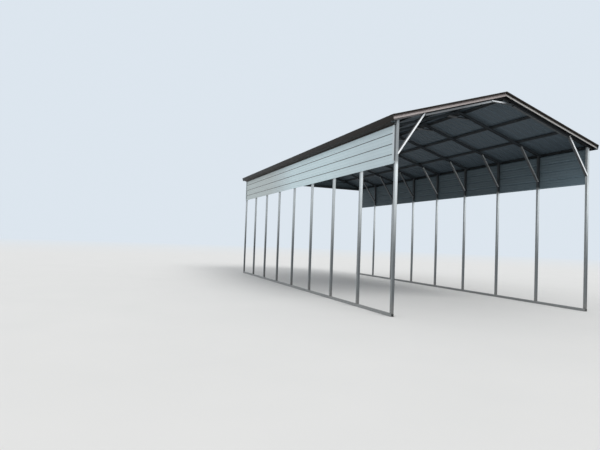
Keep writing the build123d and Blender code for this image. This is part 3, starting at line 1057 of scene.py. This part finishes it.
side_screw_u = np.append(np.arange(side_ribs) * rib_pitch + side_screw, side_ribs * rib_pitch - side_screw)
for side, word in named_sides:
    front_length = side_length(side, side_front, side_lap, True)
    rear_length = side_length(side, -side_lap, side_rear, False)
    points, faces, chosen = joined([front_length, rear_length])
    finishes = [wall_paint, wall_backing]
    wall = piece(f"side_sheets_{word}", points, faces, finishes, chosen)
    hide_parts(f"side_panel_{word}")
    y, z = np.meshgrid(leg_ys[1:-1], side_bottom + side_screw_u)
    places = np.stack([np.full_like(y, side * (half_width + sheet_steel)), y, z], -1)
    screws(f"side_screws_{word}", places, (side, 0, 0), (wall_paint, wall_paint))

# End trims: white angles over the ends of the side panels, screwed through their wide
# flange to the ribs.

end_screw = 0.030
# Written bluish grey like the siding as painted shade; the dark grey is painted shade on the front flanges.
end_white = (0.56, 0.635, 0.67, 1)
end_white_faded = (0.53, 0.59, 0.62, 1)
end_front_shade = (0.10, 0.11, 0.115, 1)


def shaded_front(place, colour):
    """Painted shade: the flange over the corner leg's front is darker."""
    ahead = axis_of(place.finish.node("NewGeometry", output="Normal"), "Y")
    return blend(limited(ahead * -2 - 1) * 0.85, colour, end_front_shade)


end_paint = painted(
    "white_trim_paint", end_white, end_white_faded, 0.36, down_the_wall, tinted=shaded_front
)
finish_nodes(("end_trims_left", "end_trims_right"), end_paint)
end_places, end_outward = [], []
for side in sides:
    for y in (eave_start + end_screw, eave_end - end_screw):
        for count in range(1, side_ribs):
            end_places.append((side * (side_rib_x + trim_steel), y, side_bottom + count * rib_pitch))
            end_outward.append((side, 0, 0))
screws("end_trim_screws", end_places, end_outward, (end_paint, end_paint))

# Closed rear gable: a header between the last legs and a stud up to the last bow, with a
# ribbed sheet cut to the slopes, its ribs level, screwed to the tubes behind it.

# The gable frame takes the channels' zinc with its painted shade.
finish_nodes(("gable_frame",), shade_zinc)
gable_columns = 31
gable_inset = 0.002
gable_wave_reach = 2.9
gable_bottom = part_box("gable_panel")[0].z
gable_half = half_width - trim_clearance
gable_top = ridge_z - trim_clearance / cos(slope)
gable_eave = gable_top - gable_half * tan(slope)
down_the_gable = (0.7, 9, 9)
# Painted shade darkens what faces down, under the gable sheet's ribs.
gable_paint = painted(
    "white_gable_paint", white, white_faded, white_roughness, down_the_gable, down_shade_amount=0.5
)


def gable_grids():
    """Both faces of the gable's sheet: the section over the height u, and across it shares, from -1 to 1,
    of half the width, or of what the slopes leave of it at that height."""
    u = across_ribs(rib_pitch / 2, 0.0, gable_top - gable_bottom - gable_inset)
    u = np.sort(np.append(u, gable_eave - gable_bottom))[None, :]
    share = np.linspace(-1, 1, gable_columns)[:, None]
    reach = np.minimum(gable_half, (gable_top - gable_bottom - u) / tan(slope))
    x, z = np.broadcast_arrays(share * reach, gable_bottom + u)
    waves = slow_waves(u - rib_pitch / 2, share * gable_wave_reach)
    level = half_length + rib_rise(u - rib_pitch / 2) + waves
    return [np.stack([x, y, z], -1) for y in (level + sheet_steel, level)]


points, faces, chosen = joined([sheet_shell(*gable_grids())])
gable = piece("gable_sheet", points, faces, [gable_paint, wall_backing], chosen)
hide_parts("gable_panel")

gable_y = half_length + sheet_steel
header_z = eave_height - tube / 2
header_screws = np.arange(-2.6, 2.7, 0.4)
stud_screws = np.arange(header_z + 0.18, ridge_z - 0.25, rib_pitch)
bow_screws = np.arange(0.35, 2.5, 0.45)
bow_screw_lift = 0.0004
gable_places = [(x, gable_y, header_z) for x in header_screws]
gable_places += [(0, gable_y, z) for z in stud_screws]
for side in sides:
    for x in bow_screws:
        gable_places.append((side * x, gable_y + bow_screw_lift, under_bow(x) + tube / 2))
screws("gable_screws", gable_places, (0, 1, 0), (gable_paint, gable_paint))

# A plain studio: a pale floor that fades into an even backdrop, two broad soft lamps and
# a little light from all round, and the camera at eye height in front of the left corner.

floor_radius = 160.0
floor_columns = 96
floor_colour = (0.74, 0.75, 0.75, 1)
floor_pale = (0.78, 0.785, 0.785, 1)
backdrop_colour = (0.72, 0.79, 0.86, 1)
fade_start = 25.0
fade_end = 95.0
floor_grain_per_metre = 0.6
studio_light = 0.62

turn = np.linspace(0, 2 * np.pi, floor_columns, endpoint=False)
floor_mesh = bpy.data.meshes.new("floor")
floor_ring = np.stack([np.cos(turn), np.sin(turn), 0 * turn], -1) * floor_radius
floor_mesh.from_pydata(floor_ring.tolist(), [], [list(range(floor_columns))])
floor = bpy.data.objects.new("floor", floor_mesh)
bpy.context.scene.collection.objects.link(floor)


def mixed_out(finish, factor, other, output):
    """Sends a mix of a finish's own shader and another one to its output node."""
    own = Field(finish, finish.shader.outputs[0])
    mixed = finish.node("MixShader", None, {0: factor, 1: own, 2: other})
    finish.put(finish.tree.nodes[output].inputs["Surface"], mixed)


pale = Finish(bpy.data.materials.new("pale_floor"))
floor_mesh.materials.append(pale.owner)
place = pale.node("TexCoord", output="Object")
distance = pale.node("VectorMath", {"operation": "LENGTH"}, {0: place}, "Value")
far = limited((distance - fade_start) / (fade_end - fade_start))
grain = noise(place, evenly, floor_grain_per_metre)
pale.surface(
    Base_Color=blend(grain, floor_colour, floor_pale),
    Roughness=0.8 + grain * 0.1,
    Specular_IOR_Level=0.2,
)
glow = pale.node("Emission", None, {"Color": backdrop_colour}, "Emission")
mixed_out(pale, far, glow, "Material Output")

sky = Finish(bpy.data.worlds.new("studio"), "Background")
bpy.context.scene.world = sky.owner
sky.surface(Color=(1, 1, 1, 1), Strength=studio_light)
seen = sky.node("Background", None, {"Color": backdrop_colour})
camera_ray = sky.node("LightPath", output="Is Camera Ray")
glossy_ray = sky.node("LightPath", output="Is Glossy Ray")
mixed_out(sky, camera_ray.math("MAXIMUM", camera_ray, glossy_ray), seen, "World Output")


def lamp(name, azimuth, elevation, strength, width, colour):
    """A broad distant lamp; azimuth is where it stands, in degrees from +X towards +Y."""
    data = bpy.data.lights.new(name, "SUN")
    data.energy = strength
    data.angle = radians(width)
    data.color = colour
    made = bpy.data.objects.new(name, data)
    bpy.context.scene.collection.objects.link(made)
    level = cos(radians(elevation))
    towards = (cos(radians(azimuth)) * level, sin(radians(azimuth)) * level, sin(radians(elevation)))
    made.rotation_euler = Vector(towards).to_track_quat("Z", "Y").to_euler()


lamp("key_lamp", -75, 42, 1.5, 30, (1.0, 0.98, 0.95))
lamp("fill_lamp", 190, 30, 0.5, 50, (0.94, 0.97, 1.0))

picture_width = 600
focal_pixels = 477.26
sensor_width = 36.0
eye = Vector((-8.417, -14.8087, 1.5336))
yaw = radians(21.343)
tilt = radians(1.884)
roll = radians(2.081)

forward = Vector((sin(yaw) * cos(tilt), cos(yaw) * cos(tilt), sin(tilt)))
level_right = Vector((cos(yaw), -sin(yaw), 0))
level_up = level_right.cross(forward)
right = level_right * cos(roll) + level_up * sin(roll)
up = level_up * cos(roll) - level_right * sin(roll)
camera_data = bpy.data.cameras.new("camera")
camera_data.sensor_width = sensor_width
camera_data.lens = focal_pixels / picture_width * sensor_width
camera_data.clip_end = 500.0
camera = bpy.data.objects.new("camera", camera_data)
bpy.context.scene.collection.objects.link(camera)
camera.matrix_world = Matrix.Translation(eye) @ Matrix((right, up, -forward)).transposed().to_4x4()
bpy.context.scene.camera = camera
bpy.context.scene.view_settings.view_transform = "Standard"
